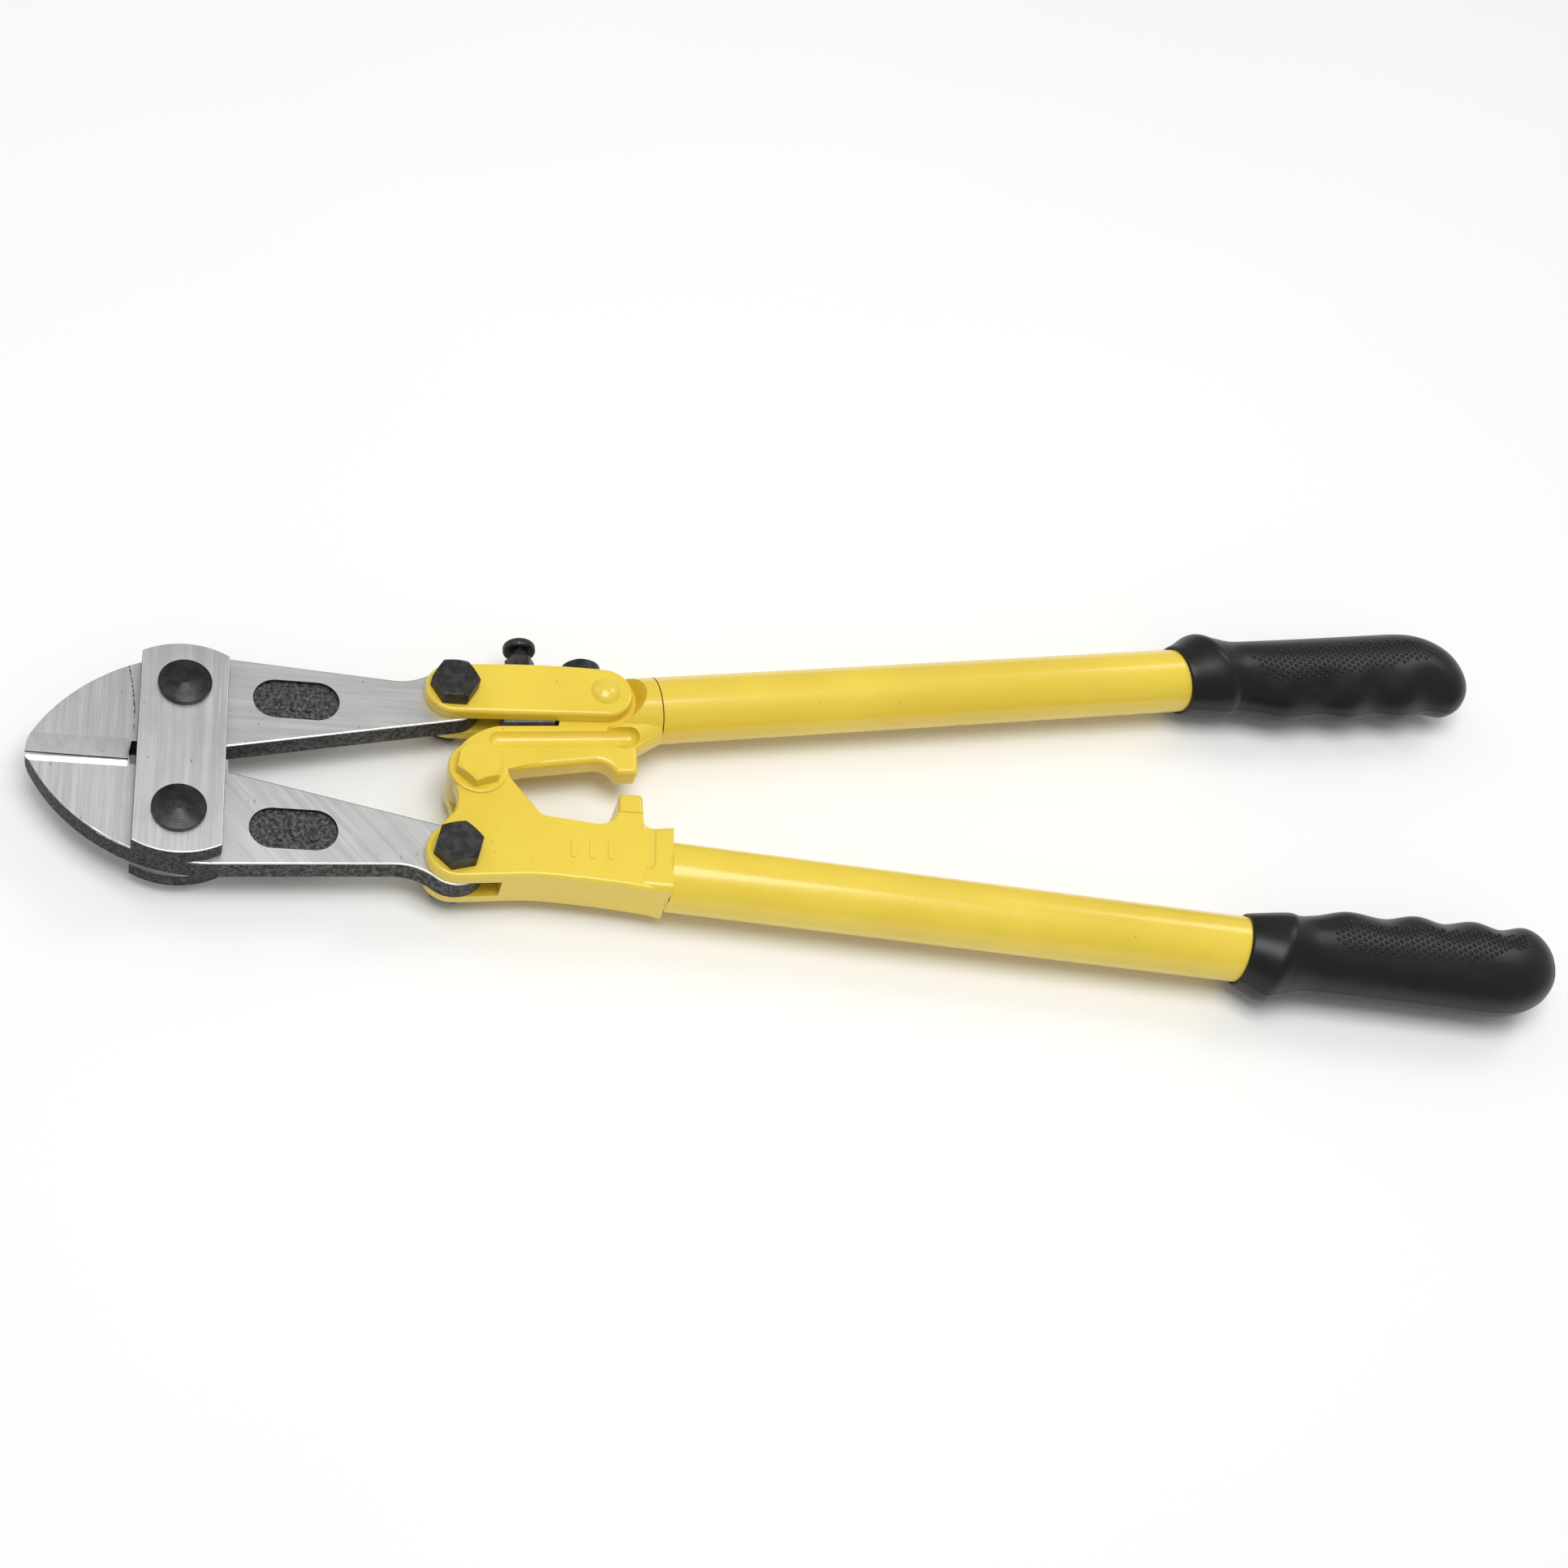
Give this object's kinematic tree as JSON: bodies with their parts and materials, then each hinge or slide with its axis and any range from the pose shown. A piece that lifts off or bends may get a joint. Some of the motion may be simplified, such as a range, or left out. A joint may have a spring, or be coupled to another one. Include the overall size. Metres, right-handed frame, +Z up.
{
  "type": "bolt cutters",
  "caption": "Long-handled bolt cutters with compound-leverage jaws, a screw adjuster on the side links and closed rubber grips.",
  "frame": {"origin": "on the centre pivot's axis, at the underside of its nut, on the surface the tool lies on", "axes": "+X from the jaws to the grips, +Y from the lower handle to the upper one, +Z up, away from the surface the tool lies on, along every pivot"},
  "size_m": [0.611, 0.1855, 0.0363],
  "materials": {
    "jaw_steel": "ground faces with fine grain, darker forged edges",
    "strap_steel": "brushed along its length",
    "black_oxide": "black oxide, satin",
    "yellow_paint": "gloss enamel with slight orange peel",
    "grey_phosphate": "matt grey phosphate, speckled",
    "grip_rubber": "soft satin black"
  },
  "bodies": {
    "strap": {"front_strap": "strap_steel", "rear_strap": "strap_steel", "upper_jaw_pin": "black_oxide", "lower_jaw_pin": "black_oxide"},
    "upper_jaw": {"upper_jaw": "jaw_steel"},
    "lower_jaw": {"lower_jaw": "jaw_steel"},
    "lower_handle": {"lower_handle_head": "yellow_paint", "lower_tube": "yellow_paint", "lower_grip": "grip_rubber", "lower_tail_bolt": "black_oxide", "lower_tail_nut": "black_oxide", "pivot_bolt": "yellow_paint", "pivot_nut": "yellow_paint"},
    "upper_handle": {"upper_handle_head": "yellow_paint", "upper_tube": "yellow_paint", "upper_grip": "grip_rubber", "link_rivet": "yellow_paint", "lock_screw": "black_oxide"},
    "side_links": {"front_side_link": "yellow_paint", "rear_side_link": "yellow_paint", "adjuster_block": "grey_phosphate", "adjusting_lock_nut": "black_oxide", "upper_tail_bolt": "black_oxide", "upper_tail_nut": "black_oxide"},
    "adjusting_screw": {"adjusting_screw": "black_oxide"}
  },
  "joints": [
    {"name": "handle_spread", "type": "hinge", "parent": "lower_handle", "child": "upper_handle", "pos_m": [0, 0, 0], "axis": [0, 0, 1], "range_deg": [-5.4, 90]},
    {"name": "lower_jaw_pivot", "type": "hinge", "parent": "strap", "child": "lower_jaw", "pos_m": [-0.108, -0.027, 0], "axis": [0, 0, 1], "range_deg": [-0.52, 8.56]},
    {"name": "upper_jaw_pivot", "type": "hinge", "parent": "strap", "child": "upper_jaw", "pos_m": [-0.108, 0.027, 0], "axis": [0, 0, 1], "range_deg": [-8.56, 0.52]},
    {"name": "lower_tail_pivot", "type": "hinge", "parent": "lower_jaw", "child": "lower_handle", "pos_m": [-0.0084, -0.036, 0], "axis": [0, 0, 1], "range_deg": [-53.6, 3.22]},
    {"name": "link_adjust", "type": "hinge", "parent": "upper_handle", "child": "side_links", "pos_m": [0.0505, 0.0392, 0], "axis": [0, 0, 1], "range_deg": [-0.6, 0.6]},
    {"name": "adjusting_screw_turn", "type": "hinge", "parent": "side_links", "child": "adjusting_screw", "pos_m": [0.0189, 0.05, 0.0183], "axis": [0, 1, 0], "range_deg": [-119, 119]}
  ],
  "couplings": [
    {"joint": "lower_jaw_pivot", "follows": "handle_spread", "ratio": 0.095},
    {"joint": "upper_jaw_pivot", "follows": "handle_spread", "ratio": -0.095},
    {"joint": "lower_tail_pivot", "follows": "handle_spread", "ratio": -0.595},
    {"joint": "link_adjust", "follows": "adjusting_screw_turn", "ratio": 0.005}
  ]
}
